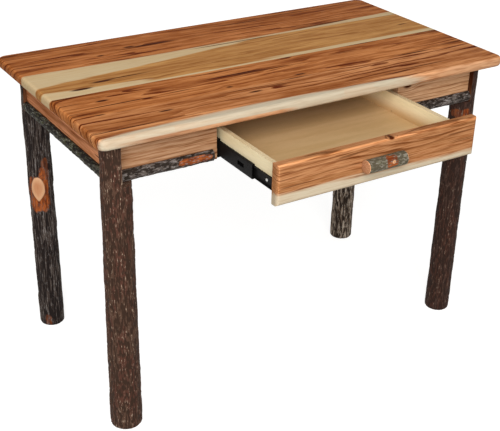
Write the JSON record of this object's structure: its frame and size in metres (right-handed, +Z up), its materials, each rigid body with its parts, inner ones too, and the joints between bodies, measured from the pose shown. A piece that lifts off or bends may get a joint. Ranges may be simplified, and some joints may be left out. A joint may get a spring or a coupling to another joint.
{
  "type": "writing desk",
  "caption": "Rustic writing desk of glued hickory boards on bark-covered log legs, with bark-edged aprons and a drawer with a twig pull on telescopic ball slides.",
  "frame": {"origin": "on the floor, in the middle of the box round the desk with its drawer open as at rest; the desk's own middle is 119.5 mm behind it", "axes": "+X to the right seen from the drawer side, +Y to the back, +Z up"},
  "size_m": [1.124, 0.849, 0.762],
  "materials": {
    "hickory_top": "satin lacquer",
    "leg_bark": "rough bark",
    "rail_bark": "rough bark",
    "hickory_apron": "satin lacquer",
    "hickory_front": "satin lacquer",
    "twig_bark": "smooth bark",
    "birch_ply": "satin",
    "inner_wood": "sawn",
    "slide_black": "satin",
    "cage_steel": "satin",
    "bearing_steel": "polished",
    "zinc_steel": "zinc"
  },
  "bodies": {
    "frame": {"apron_back": "hickory_apron", "apron_dowels": "inner_wood", "apron_front_left": "hickory_apron", "apron_front_right": "hickory_apron", "apron_left": "hickory_apron", "apron_right": "hickory_apron", "bark_rail_back": "rail_bark", "bark_rail_front_left": "rail_bark", "bark_rail_front_right": "rail_bark", "bark_rail_left": "rail_bark", "bark_rail_right": "rail_bark", "corner_block_bl": "inner_wood", "corner_block_br": "inner_wood", "corner_block_fl": "inner_wood", "corner_block_fr": "inner_wood", "front_stretcher": "inner_wood", "hanger_bolts": "zinc_steel", "hanger_nuts": "zinc_steel", "hanger_washers": "zinc_steel", "leg_bl": "leg_bark", "leg_br": "leg_bark", "leg_fl": "leg_bark", "leg_fr": "leg_bark", "runner_left": "inner_wood", "runner_right": "inner_wood", "slide_cabinet_screws": "zinc_steel", "slide_left_cabinet": "slide_black", "slide_right_cabinet": "slide_black", "top_board_back": "hickory_top", "top_board_front": "hickory_top", "top_board_inner": "hickory_top", "top_board_middle": "hickory_top", "top_screws": "zinc_steel"},
    "drawer": {"drawer_back": "birch_ply", "drawer_bottom": "birch_ply", "drawer_box_front": "birch_ply", "drawer_front": "hickory_front", "drawer_front_screws": "zinc_steel", "drawer_pull": "twig_bark", "drawer_side_left": "birch_ply", "drawer_side_right": "birch_ply", "pull_screws": "zinc_steel", "slide_drawer_screws": "zinc_steel", "slide_left_drawer": "slide_black", "slide_right_drawer": "slide_black"},
    "slide_middle_left": {"slide_left_middle": "slide_black"},
    "slide_middle_right": {"slide_right_middle": "slide_black"},
    "outer_ball_cages": {"slide_left_outer_cage": "cage_steel", "slide_right_outer_cage": "cage_steel", "slide_outer_balls": "bearing_steel"},
    "inner_ball_cages": {"slide_left_inner_cage": "cage_steel", "slide_right_inner_cage": "cage_steel", "slide_inner_balls": "bearing_steel"}
  },
  "joints": [
    {"name": "drawer_slide", "type": "slide", "parent": "frame", "child": "drawer", "axis": [0, -1, 0], "range_m": [-0.2375, 0.2025]},
    {"name": "middle_left_run", "type": "slide", "parent": "frame", "child": "slide_middle_left", "axis": [0, -1, 0], "range_m": [-0.143, 0.122]},
    {"name": "middle_right_run", "type": "slide", "parent": "frame", "child": "slide_middle_right", "axis": [0, -1, 0], "range_m": [-0.143, 0.122]},
    {"name": "outer_cage_run", "type": "slide", "parent": "frame", "child": "outer_ball_cages", "axis": [0, -1, 0], "range_m": [-0.0717, 0.0612]},
    {"name": "inner_cage_run", "type": "slide", "parent": "frame", "child": "inner_ball_cages", "axis": [0, -1, 0], "range_m": [-0.1905, 0.1625]}
  ],
  "couplings": [
    {"joint": "middle_left_run", "follows": "drawer_slide", "ratio": 0.6},
    {"joint": "middle_right_run", "follows": "drawer_slide", "ratio": 0.6},
    {"joint": "outer_cage_run", "follows": "drawer_slide", "ratio": 0.3},
    {"joint": "inner_cage_run", "follows": "drawer_slide", "ratio": 0.8}
  ]
}
